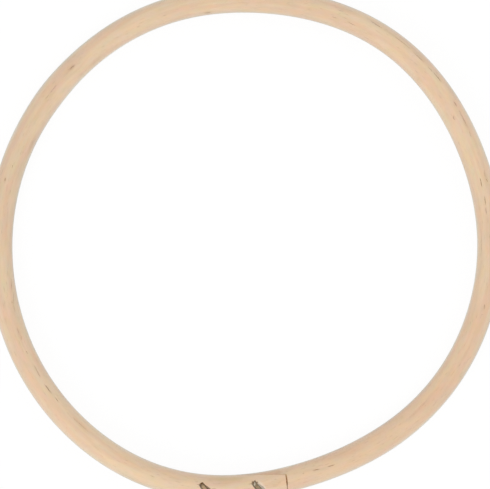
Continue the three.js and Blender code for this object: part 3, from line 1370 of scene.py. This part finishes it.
    def marks(self, point: Vector, turn: float, out: float, up: float) -> dict[str, float]:
        """What the finishes need to know of a point of the cane.

        Args:
            point: The point.
            turn: Its angle round the hoop.
            out: Its distance outwards from the cane's axis.
            up: Its height above the axis.

        Returns:
            How strong each kind of mark is there, by the name that it is stored under.
        """
        near_joint = abs(self.joint.along(turn)) < self.fine_reach
        nearest = min(self.staples, key=lambda staple: staple.distance(point))
        return {
            "bruise": self.soil_and_shade(point, turn, out, up),
            "grime": nearest.grime(point) if near_joint else 1.0,
            "lip": max(staple.lip_paleness_and_highlight(point) for staple in self.staples) if near_joint else 0.0,
            "smear": self.glue_smear(turn, out, up),
            "shade": self.shade(turn, out, up),
            "blot": sum(blot.at(self.line, turn, out) for blot in BLOTS) if up > 0 else 0.0,
            "pale": sum(stretch.pale * stretch.share(turn) for stretch in STRETCHES),
            "rosy": sum(stretch.rosy * stretch.share(turn) for stretch in STRETCHES),
        }

    def mark(self, mesh: bpy.types.Mesh) -> None:
        """Stores each point's marks and its place in the straight cane.

        Args:
            mesh: The cut cane.
        """
        places = []
        stored = defaultdict(list)
        for vert in mesh.vertices:
            turn, out, up = self.line.locate(vert.co)
            places += [self.joint.grain_length(turn, out, up), out, up]
            for name, value in self.marks(vert.co, turn, out, up).items():
                stored[name].append(value)
        mesh.attributes.new("cane_place", "FLOAT_VECTOR", "POINT").data.foreach_set("vector", places)
        store(mesh, stored)

    def build(self, finishes: list[bpy.types.Material]) -> bpy.types.Object:
        """The finished cane, which stands for its node.

        Args:
            finishes: Its finishes in the order of CaneFace.

        Returns:
            The cane's object.
        """
        ring = self.ring()
        self.refine_joint(ring)
        self.shape(ring)
        mesh = mesh_of(ring, finishes)
        cutters = [self.splits(), self.joint.kerf()]
        cutters += [staple.hole() for staple in self.staples]
        cutters += [staple.dent() for staple in self.staples]
        for cutter in cutters:
            mesh = carve(mesh, mesh_of(cutter, finishes), Carving.CUT_AWAY)
        self.lift_tip(mesh)
        self.mark(mesh)
        piece = finish_piece(mesh, "peeled_cane")
        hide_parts("bent_cane")
        return piece


@dataclass(frozen=True)
class GlueFilm:
    """The glue between the tapers, with its edge a little in or out of the seam."""

    cane: BentCane
    recess: float = 0.05
    ripple: float = 0.06

    def build(self, glue: bpy.types.Material) -> bpy.types.Object:
        """The finished film, which stands for its node.

        Args:
            glue: Its finish.

        Returns:
            The film's object.
        """
        joint = self.cane.joint
        ring = self.cane.ring()
        for vert in ring.verts:
            turn, out, around = self.cane.section(vert.co)
            radius = self.cane.skin_radius(joint.grain_length(turn, out, vert.co.z), around)
            radius += self.ripple * soft_noise(joint.along(turn) * 0.9, out, 3.0) - self.recess
            vert.co = joint.line.place_round(turn, around, radius)
        mesh = carve(mesh_of(joint.film(), [glue]), mesh_of(ring, [glue]), Carving.KEEP_COMMON)
        for staple in self.cane.staples:
            mesh = carve(mesh, mesh_of(staple.hole(), [glue]), Carving.CUT_AWAY)
        for face in mesh.polygons:
            face.material_index = 0
        piece = finish_piece(mesh, "glue_film")
        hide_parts("scarf_glue")
        return piece


def mesh_of(source: bmesh.types.BMesh, finishes: list[bpy.types.Material]) -> bpy.types.Mesh:
    """Turns a bmesh into a mesh with a list of finishes, and frees the bmesh.

    Args:
        source: The bmesh.
        finishes: The finishes that its faces number.

    Returns:
        The mesh.
    """
    mesh = bpy.data.meshes.new("shape")
    source.to_mesh(mesh)
    source.free()
    for finish in finishes:
        mesh.materials.append(finish)
    return mesh


def store(mesh: bpy.types.Mesh, values: dict[str, list[float]]) -> None:
    """Stores a value for each point of a mesh under each of some names."""
    for name, of_points in values.items():
        mesh.attributes.new(name, "FLOAT", "POINT").data.foreach_set("value", of_points)


def bring_in(thing: bpy.types.Object) -> None:
    """Puts an object in the scene."""
    bpy.context.scene.collection.objects.link(thing)


def carve(mesh: bpy.types.Mesh, cutter: bpy.types.Mesh, carving: Carving) -> bpy.types.Mesh:
    """Cuts one closed mesh with another.

    Args:
        mesh: What is cut.
        cutter: What cuts it.
        carving: What is kept.

    Returns:
        The cut mesh.
    """
    base = bpy.data.objects.new("base", mesh)
    tool = bpy.data.objects.new("tool", cutter)
    bring_in(base)
    bring_in(tool)
    boolean = base.modifiers.new("carve", "BOOLEAN")
    boolean.object = tool
    boolean.operation = carving.value
    boolean.solver = "MANIFOLD"
    bpy.context.view_layer.update()
    depsgraph = bpy.context.evaluated_depsgraph_get()
    result = bpy.data.meshes.new_from_object(base.evaluated_get(depsgraph))
    bpy.data.objects.remove(base)
    bpy.data.objects.remove(tool)
    bpy.data.meshes.remove(mesh)
    bpy.data.meshes.remove(cutter)
    return result


def finish_piece(mesh: bpy.types.Mesh, name: str) -> bpy.types.Object:
    """Brings a mesh to metres and makes it a piece of the hoop.

    Args:
        mesh: The piece's mesh in millimetres, with its finishes.
        name: The piece's name.

    Returns:
        The piece's object.
    """
    mesh.transform(Matrix.Scale(METRES, 4))
    mesh.shade_smooth()
    mesh.set_sharp_from_angle(angle=math.radians(SHARPEST_BEND))
    mesh.name = name
    piece = bpy.data.objects.new(name, mesh)
    bring_in(piece)
    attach(piece, BODY)
    return piece


@dataclass(frozen=True)
class Grain:
    """A pattern of fibres that is drawn out along the cane.

    It has its waves for each millimetre along the cane and across it, and its noise's detail and
    roughness.
    """

    along: float
    across: float
    detail: float = 2.0
    roughness: float = 0.5


class Wire:
    """A socket of a material's nodes. Arithmetic on it adds Math nodes."""

    def __init__(self, nodes: "Nodes", socket: bpy.types.NodeSocket) -> None:
        """Wraps an output socket."""
        self.nodes = nodes
        self.socket = socket

    def _math(self, operation: str, *values: "Wire | float") -> "Wire":
        """A Math node on some values."""
        return self.nodes.add("ShaderNodeMath", {"operation": operation}, dict(enumerate(values)))

    def __add__(self, other: "Wire | float") -> "Wire":
        """Sum."""
        return self._math("ADD", self, other)

    def __radd__(self, other: float) -> "Wire":
        """Sum with a number first."""
        return self._math("ADD", other, self)

    def __sub__(self, other: "Wire | float") -> "Wire":
        """Difference."""
        return self._math("SUBTRACT", self, other)

    def __rsub__(self, other: float) -> "Wire":
        """Difference with a number first."""
        return self._math("SUBTRACT", other, self)

    def __mul__(self, other: "Wire | float") -> "Wire":
        """Product."""
        return self._math("MULTIPLY", self, other)

    def __rmul__(self, other: float) -> "Wire":
        """Product with a number first."""
        return self._math("MULTIPLY", other, self)

    def at_least(self, other: "Wire | float") -> "Wire":
        """The larger of two values."""
        return self._math("MAXIMUM", self, other)


Value = Wire | float | tuple[float, ...]


class Nodes:
    """Builds the nodes of one material."""

    def __init__(self, name: str) -> None:
        """Starts a material with nothing but its output."""
        self.material = bpy.data.materials.new(name)
        self.material.use_nodes = True
        self.tree = self.material.node_tree
        self.tree.nodes.clear()

    def node(
        self, kind: str, settings: dict[str, object], sockets: dict[str | int, Value]
    ) -> bpy.types.Node:
        """Adds a node.

        Args:
            kind: The node's type.
            settings: Its properties, which are set first.
            sockets: Values or wires for its inputs, by name or number.

        Returns:
            The node.
        """
        node = self.tree.nodes.new(kind)
        for key, setting in settings.items():
            setattr(node, key, setting)
        for key, value in sockets.items():
            if isinstance(value, Wire):
                self.tree.links.new(value.socket, node.inputs[key])
            else:
                node.inputs[key].default_value = value
        return node

    def add(
        self,
        kind: str,
        settings: dict[str, object],
        sockets: dict[str | int, Value],
        output: int | str = 0,
    ) -> Wire:
        """Adds a node, and gives one of its outputs as a wire."""
        return Wire(self, self.node(kind, settings, sockets).outputs[output])

    def attribute(self, name: str, output: str) -> Wire:
        """A value or vector stored on the mesh."""
        return self.add("ShaderNodeAttribute", {"attribute_name": name}, {}, output)

    def join(self, first: Value, second: Value, third: Value) -> Wire:
        """A vector of three values."""
        return self.add("ShaderNodeCombineXYZ", {}, {0: first, 1: second, 2: third})

    def stretch(self, vector: Value, factors: Value) -> Wire:
        """A vector or a colour with each part multiplied."""
        return self.add("ShaderNodeVectorMath", {"operation": "MULTIPLY"}, {0: vector, 1: factors})

    def shift(self, vector: Wire, other: Value) -> Wire:
        """A vector with another added."""
        return self.add("ShaderNodeVectorMath", {"operation": "ADD"}, {0: vector, 1: other})

    def noise(self, vector: Wire, detail: float = 2.0, roughness: float = 0.5) -> Wire:
        """Smooth noise from 0 to 1."""
        sockets = {"Vector": vector, "Scale": 1.0, "Detail": detail, "Roughness": roughness}
        return self.add("ShaderNodeTexNoise", {"noise_dimensions": "3D"}, sockets, "Fac")

    def pattern(self, place: Wire, grain: Grain) -> Wire:
        """A pattern of fibres, from 0 to 1, at a place in the straight cane."""
        drawn_out = self.stretch(place, (grain.along, grain.across, grain.across))
        return self.noise(drawn_out, grain.detail, grain.roughness)

    def rise(self, value: Wire, low: float, high: float, start: float = 0.0, end: float = 1.0) -> Wire:
        """A smooth rise between two thresholds.

        Args:
            value: What is compared with the thresholds.
            low: Where the rise starts.
            high: Where it ends.
            start: What comes out below it.
            end: What comes out above it.

        Returns:
            The risen value.
        """
        settings = {"interpolation_type": "SMOOTHSTEP"}
        sockets = {"Value": value, "From Min": low, "From Max": high, "To Min": start, "To Max": end}
        return self.add("ShaderNodeMapRange", settings, sockets)

    def blend(self, factor: Value, first: Value, second: Value, mode: str = "MIX") -> Wire:
        """Mixes two colours."""
        settings = {"data_type": "RGBA", "blend_type": mode}
        return self.add("ShaderNodeMix", settings, {0: factor, 6: first, 7: second}, 2)

    def tone(self, colour: Value, brightness: Wire) -> Wire:
        """A colour multiplied by a brightness."""
        return self.stretch(colour, self.join(brightness, brightness, brightness))

    def bump(self, height: Wire, depth: float) -> Wire:
        """A relief of a given depth in metres."""
        sockets = {"Strength": 1.0, "Distance": depth, "Height": height}
        return self.add("ShaderNodeBump", {}, sockets, "Normal")

    def surface(self, sockets: dict[str | int, Value]) -> bpy.types.Material:
        """Ends the material with a Principled shader.

        Args:
            sockets: Values or wires for the shader's inputs.

        Returns:
            The material.
        """
        shader = self.add("ShaderNodeBsdfPrincipled", {}, sockets)
        self.node("ShaderNodeOutputMaterial", {}, {"Surface": shader})
        return self.material


def srgb(red: float, green: float, blue: float) -> tuple[float, float, float, float]:
    """A colour written as it looks on a screen, as the values that light is worked out with.

    Args:
        red: Red from 0 to 255.
        green: Green from 0 to 255.
        blue: Blue from 0 to 255.

    Returns:
        The colour from 0 to 1, fully opaque.
    """

    def linear(part: float) -> float:
        """One part of the colour."""
        share = part / 255
        return share / 12.92 if share <= 0.04045 else ((share + 0.055) / 1.055) ** 2.4

    return linear(red), linear(green), linear(blue), 1.0


def grey(light: float) -> tuple[float, float, float, float]:
    """A grey that sends back a share of the light."""
    return light, light, light, 1.0


@dataclass(frozen=True)
class CaneFinish:
    """Bare peeled cane: long pale fibres with faint bands, dark vessels and a soft low sheen."""

    straw: tuple[float, ...] = srgb(230, 202, 168)
    rose: tuple[float, ...] = srgb(227, 193, 161)
    vessel: tuple[float, ...] = srgb(176, 140, 108)
    # Dark brown for bruised, dirty wood round the staples, and for painted shade there and in the tip gap.
    bruise: tuple[float, ...] = srgb(90, 54, 10)
    # Pale crushed fibres; on the lip beside a dent also a painted highlight.
    crushed: tuple[float, ...] = srgb(236, 222, 202)
    glued: tuple[float, ...] = srgb(206, 184, 128)
    # Faint darkening for the painted shadow and dirt below the seam.
    seam_shadow: tuple[float, ...] = srgb(242, 236, 234)
    blot: tuple[float, ...] = srgb(126, 92, 64)
    aged: tuple[float, ...] = srgb(250, 241, 216)
    blush: tuple[float, ...] = srgb(254, 248, 245)
    clean_fibres: tuple[tuple[float, ...], ...] = (srgb(166, 154, 138), srgb(196, 184, 166))
    # Dark browns for dirt and painted shade in the dents.
    dirty_and_shaded_fibres: tuple[tuple[float, ...], ...] = (srgb(98, 62, 16), srgb(142, 102, 48))
    check_walls: tuple[tuple[float, ...], ...] = (srgb(156, 104, 52), srgb(190, 138, 82))
    bands: Grain = Grain(0.05, 0.5)
    streaks: Grain = Grain(0.09, 2.2, 2.0, 0.6)
    fibres: Grain = Grain(0.3, 8.0, 3.0, 0.6)
    dashes: Grain = Grain(0.4, 5.0, 1.0)
    clouds: Grain = Grain(0.12, 0.25)
    warm_patches: Grain = Grain(0.26, 0.55)
    yellow_patches: Grain = Grain(0.3, 0.6)
    wandering: Grain = Grain(0.035, 0.2, 1.0)
    torn: Grain = Grain(1.2, 6.0, 3.0, 0.7)
    check_dust: Grain = Grain(0.8, 3.0)
    lightness: float = 0.885
    roughness: float = 0.56
    relief: float = 0.00005
    torn_relief: float = 0.00008
    fuzz: float = 1.0
    fuzz_tint: tuple[float, ...] = (0.8, 0.97, 1.0, 1.0)

    def skin(
        self, name: str = "peeled_cane", rough: float = 0.0, browning: float = 0.0
    ) -> bpy.types.Material:
        """The surface of the cane.

        Args:
            name: The material's name.
            rough: How much rougher than the skin it is.
            browning: How far it has browned with age.

        Returns:
            The material.
        """
        nodes = Nodes(name)
        place = nodes.attribute("cane_place", "Vector")
        wander = nodes.pattern(place, self.wandering)
        grain = nodes.shift(place, nodes.join(0.0, wander * 0.9, wander * -0.7))
        bands = nodes.pattern(grain, self.bands)
        streaks = nodes.pattern(grain, self.streaks)
        fibres = nodes.pattern(grain, self.fibres)
        dashes = nodes.pattern(grain, self.dashes)
        clouds = nodes.pattern(place, self.clouds)
        warmth = nodes.pattern(nodes.shift(place, (31, 5, 2)), self.warm_patches)
        yellow = nodes.pattern(nodes.shift(place, (77, 1, 9)), self.yellow_patches)
        mottling = nodes.join(0.89 + warmth * 0.22, 1.0, 1.16 - yellow * 0.32)
        vessels = nodes.rise(dashes, 0.66, 0.78, 0.0, 0.45)
        paler = nodes.attribute("pale", "Fac")
        bright = self.lightness + streaks * 0.06 + fibres * 0.12 + clouds * 0.04 + paler
        blotted = nodes.attribute("blot", "Fac") * (0.1 + fibres * 0.45)
        colour = nodes.blend(nodes.rise(bands, 0.36, 0.64), self.straw, self.rose)
        colour = nodes.blend(vessels, colour, self.vessel)
        colour = nodes.stretch(nodes.tone(colour, bright), mottling)
        colour = nodes.blend(blotted, colour, self.blot)
        colour = nodes.blend(nodes.attribute("rosy", "Fac"), colour, self.blush, "MULTIPLY")
        colour = nodes.blend(browning, colour, self.aged, "MULTIPLY")
        # Painted shadow and dirt below the seam on the lower end's inner flank.
        colour = nodes.blend(nodes.attribute("shade", "Fac"), colour, self.seam_shadow, "MULTIPLY")
        colour = nodes.blend(nodes.attribute("smear", "Fac") * 0.6, colour, self.glued)
        # The pale lip beside a dent: crushed fibres and a painted highlight.
        colour = nodes.blend(nodes.attribute("lip", "Fac") * 0.6, colour, self.crushed)
        # Bruises, dirt and painted shade round the staples, and painted shade in the tip gap.
        bruised_and_shaded = nodes.attribute("bruise", "Fac")
        ragged = nodes.rise(bruised_and_shaded + (fibres - 0.5) * 0.9 * bruised_and_shaded, 0.2, 0.95, 0.0, 0.9)
        colour = nodes.blend(ragged, colour, self.bruise)
        return nodes.surface(
            {
                "Base Color": colour,
                "Roughness": self.roughness + rough + fibres * 0.12,
                "Normal": nodes.bump(fibres + streaks * 0.8 - vessels * 0.8, self.relief),
                "Specular IOR Level": 0.4,
                "Sheen Weight": self.fuzz,
                "Sheen Roughness": 0.47,
                "Sheen Tint": self.fuzz_tint,
            }
        )

    def pressed(self) -> bpy.types.Material:
        """The crushed fibres inside a staple's dent.

        Returns:
            The material.
        """
        nodes = Nodes("crushed_cane")
        torn = nodes.pattern(nodes.attribute("cane_place", "Vector"), self.torn)
        lighter = nodes.rise(torn, 0.35, 0.7)
        clean = nodes.blend(lighter, *self.clean_fibres)
        # Dirt and painted shade in the dents.
        dirty_and_shaded = nodes.blend(lighter, *self.dirty_and_shaded_fibres)
        return nodes.surface(
            {
                "Base Color": nodes.blend(nodes.attribute("grime", "Fac"), clean, dirty_and_shaded),
                "Roughness": 0.8,
                "Normal": nodes.bump(torn, self.torn_relief),
                "Specular IOR Level": 0.1,
            }
        )

    def split(self) -> bpy.types.Material:
        """The dark inside of a drying check.

        Returns:
            The material.
        """
        nodes = Nodes("check_shadow")
        dust = nodes.pattern(nodes.attribute("cane_place", "Vector"), self.check_dust)
        colour = nodes.blend(nodes.rise(dust, 0.3, 0.7), *self.check_walls)
        return nodes.surface({"Base Color": colour, "Roughness": 0.85, "Specular IOR Level": 0.2})

    def all_faces(self) -> list[bpy.types.Material]:
        """The finishes in the order of CaneFace."""
        sawn = self.skin("sawn_cane", rough=0.2, browning=1.0)
        return [self.skin(), sawn, self.pressed(), self.split()]


@dataclass(frozen=True)
class StapleFinish:
    """Galvanised wire, dulled and a little rusty in its hollows, with painted shade and a painted glint.
    """

    metal: tuple[tuple[float, ...], ...] = (srgb(164, 150, 126), srgb(134, 119, 94))
    caked: tuple[tuple[float, ...], ...] = (srgb(164, 137, 102), srgb(198, 172, 136))
    # Dark brown for soot and painted shade on the wire.
    soot_and_shade: tuple[float, ...] = srgb(96, 62, 16)
    # Near-white colour of the painted glint on a staple's first shoulder.
    glint_colour: tuple[float, ...] = srgb(240, 230, 212)
    blotch_scale: float = 900
    scuff_scale: float = 4200
    relief: float = 0.00002

    def wire(self) -> bpy.types.Material:
        """The staple's only material.

        Returns:
            The material.
        """
        nodes = Nodes("staple_wire")
        where = nodes.add("ShaderNodeTexCoord", {}, {}, "Object")
        blotches = nodes.noise(nodes.stretch(where, 3 * (self.blotch_scale,)), 3.0, 0.6)
        scuffs = nodes.noise(nodes.stretch(where, 3 * (self.scuff_scale,)), 2.0, 0.6)
        dust = nodes.attribute("dust", "Fac")
        soot_and_shade = nodes.attribute("soot_and_shade", "Fac")
        glint = nodes.attribute("glint", "Fac")
        dull = nodes.rise(blotches, 0.34, 0.66)
        dirt = nodes.rise(blotches + scuffs * 0.4 + dust * 0.5, 0.72, 1.1)
        colour = nodes.blend(dull, *self.metal)
        colour = nodes.blend(dirt, colour, nodes.blend(scuffs, *self.caked))
        # Soot and painted shade at the first shoulder and in the smudges.
        colour = nodes.blend(soot_and_shade, colour, self.soot_and_shade)
        # The painted glint on the first shoulder.
        colour = nodes.blend(glint, colour, self.glint_colour)
        return nodes.surface(
            {
                "Base Color": colour,
                "Metallic": (0.85 - dirt * 0.75).at_least(0.0),
                "Roughness": 0.36 + dull * 0.16 + dirt * 0.3 - glint * 0.1,
                "Normal": nodes.bump(scuffs, self.relief),
            }
        )


@dataclass(frozen=True)
class GlueFinish:
    """Dried wood glue."""

    amber: tuple[float, ...] = srgb(188, 158, 108)
    milky: tuple[float, ...] = srgb(214, 190, 146)
    cloud_scale: float = 700

    def film(self) -> bpy.types.Material:
        """The glue's only material.

        Returns:
            The material.
        """
        nodes = Nodes("dried_glue")
        where = nodes.add("ShaderNodeTexCoord", {}, {}, "Object")
        cloudy = nodes.noise(nodes.stretch(where, 3 * (self.cloud_scale,)))
        colour = nodes.blend(cloudy, self.amber, self.milky)
        return nodes.surface({"Base Color": colour, "Roughness": 0.3 + cloudy * 0.2})


@dataclass(frozen=True)
class Lamp:
    """A soft round lamp that faces the middle of the hoop: its power, azimuth and height in degrees."""

    name: str
    power: float
    turn: float
    rise: float
    size: float = 0.7
    distance: float = 1.3

    def build(self) -> None:
        """Hangs the lamp."""
        light = bpy.data.lights.new(self.name, "AREA")
        light.shape = "DISK"
        light.size = self.size
        light.energy = self.power
        turn, rise = math.radians(self.turn), math.radians(self.rise)
        level = math.cos(rise)
        towards = Vector((math.cos(turn) * level, math.sin(turn) * level, math.sin(rise)))
        lamp = bpy.data.objects.new(self.name, light)
        lamp.location = towards * self.distance
        lamp.rotation_euler = towards.to_track_quat("Z", "Y").to_euler()
        bring_in(lamp)


@dataclass(frozen=True)
class Studio:
    """The pale floor, the soft light and the camera that looks straight down."""

    line: HoopLine
    image_width: int = 490
    cane_in_picture: float = 25.565
    right_of_middle: float = -1.32
    below_middle: float = -1.2
    camera_height: float = 0.9
    sensor: float = 36.0
    floor_size: float = 12.0
    floor_drop: float = 0.00005
    floor_bounce: float = 0.8
    floor_shade: float = 0.08
    floor_glow: float = 0.93
    dome: float = 0.98
    lamps: tuple[Lamp, ...] = (Lamp("window", 4.1, 235, 37), Lamp("fill", 1.8, 28, 35))

    def floor_material(self) -> bpy.types.Material:
        """White to the camera but for the hoop's own soft shadow, and a pale reflector to all else.

        Returns:
            The material.
        """
        nodes = Nodes("white_floor")
        ray = nodes.node("ShaderNodeLightPath", {}, {}).outputs
        seen = Wire(nodes, ray["Is Camera Ray"])
        for kind in ("Is Glossy Ray", "Is Transmission Ray"):
            seen = seen.at_least(Wire(nodes, ray[kind]))
        return nodes.surface(
            {
                "Base Color": nodes.blend(seen, grey(self.floor_bounce), grey(self.floor_shade)),
                "Roughness": 0.9,
                "Specular IOR Level": 0.0,
                "Emission Color": nodes.blend(seen, grey(0.0), grey(self.floor_glow)),
                "Emission Strength": 1.0,
            }
        )

    def floor(self) -> None:
        """Lays the floor just below the hoop."""
        mesh = bmesh.new()
        bmesh.ops.create_grid(mesh, x_segments=1, y_segments=1, size=self.floor_size / 2)
        bmesh.ops.translate(mesh, verts=mesh.verts[:], vec=(0, 0, -self.floor_drop))
        floor = bpy.data.objects.new("floor", mesh_of(mesh, [self.floor_material()]))
        bring_in(floor)

    def light(self) -> None:
        """Sets an even white dome and the soft lamps."""
        world = bpy.data.worlds.new("dome")
        bpy.context.scene.world = world
        world.use_nodes = True
        tree = world.node_tree
        tree.nodes.clear()
        ray = tree.nodes.new("ShaderNodeLightPath")
        strength = tree.nodes.new("ShaderNodeMapRange")
        strength.inputs["To Min"].default_value = self.dome
        strength.inputs["To Max"].default_value = 1.0
        sky = tree.nodes.new("ShaderNodeBackground")
        out = tree.nodes.new("ShaderNodeOutputWorld")
        tree.links.new(ray.outputs["Is Camera Ray"], strength.inputs["Value"])
        tree.links.new(strength.outputs[0], sky.inputs["Strength"])
        tree.links.new(sky.outputs[0], out.inputs["Surface"])
        for lamp in self.lamps:
            lamp.build()

    def camera(self) -> None:
        """Looks straight down, with the hoop a little larger than the picture."""
        pixel = 2 * self.line.cane_radius / self.cane_in_picture * METRES
        aim = Vector((-self.right_of_middle, self.below_middle, 0)) * pixel - self.line.middle * METRES
        view = bpy.data.cameras.new("camera")
        view.sensor_width = self.sensor
        plane = self.line.cane_radius * METRES
        view.lens = self.sensor * (self.camera_height - plane) / (self.image_width * pixel)
        view.clip_start = 0.05
        view.clip_end = 50
        camera = bpy.data.objects.new("camera", view)
        camera.location = (aim.x, aim.y, self.camera_height)
        bring_in(camera)
        bpy.context.scene.camera = camera

    def build(self) -> None:
        """Sets the whole stage."""
        bpy.context.scene.view_settings.view_transform = "Standard"
        self.camera()
        self.floor()
        self.light()


def driven_staples(joint: ScarfJoint) -> tuple[Staple, Staple]:
    """The two staples with their dents, their dirt and their painted shade.

    Args:
        joint: The joint that they hold.

    Returns:
        The left one, deep in a dent painted dark with dirt and shade, and the right one, shallower and
        with a painted glint.
    """
    left = Staple(
        joint,
        "left_staple",
        end=-1,
        slant=46,
        roll=17,
        sunk=0.6,
        dust=0.75,
        soot_and_shade=0.7,
        bed=Dent(Flank(0.03, 0.12, 0.05), Flank(0.6, 0.45, 0.6), first_end=0.22, lip=0.0),
        # Dirt and painted shade beyond the first end and along the right flank near it.
        smudges=(
            Smudge(-2.85, -0.15, 0.25, 0.5),
            Smudge(-1.95, 0.8, 0.2, 0.7),
            Smudge(-1.3, 0.75, 0.3, 0.5),
        ),
    )
    right = Staple(
        joint,
        "right_staple",
        end=1,
        slant=53,
        roll=17,
        sunk=0.35,
        dust=0.1,
        soot_and_shade=0.15,
        bed=Dent(Flank(0.1, 0.22, 0.15), Flank(0.75, 0.22, 0.0), first_end=0.25, lip=1.0),
        # Dirt and painted shade beyond the first end, along the right flank and on the first shoulder.
        smudges=(
            Smudge(-2.78, -0.12, 0.36, 0.9),
            Smudge(-1.9, 0.86, 0.33, 0.85),
            Smudge(-1.5, 0.15, 0.45, 0.3),
        ),
    )
    return left, right


def main() -> None:
    """Builds the stage and then every piece of the hoop."""
    logging.basicConfig(level=logging.INFO, format="%(name)s: %(message)s")
    line = HoopLine()
    Studio(line).build()
    joint = ScarfJoint(line)
    staples = driven_staples(joint)
    cane = BentCane(joint, staples)
    steel = StapleFinish().wire()
    pieces = [cane.build(CaneFinish().all_faces()), GlueFilm(cane).build(GlueFinish().film())]
    pieces += [staple.build(steel) for staple in staples]
    for piece in pieces:
        log.info("%s: %d faces", piece.name, len(piece.data.polygons))


if __name__ == "__main__":
    main()
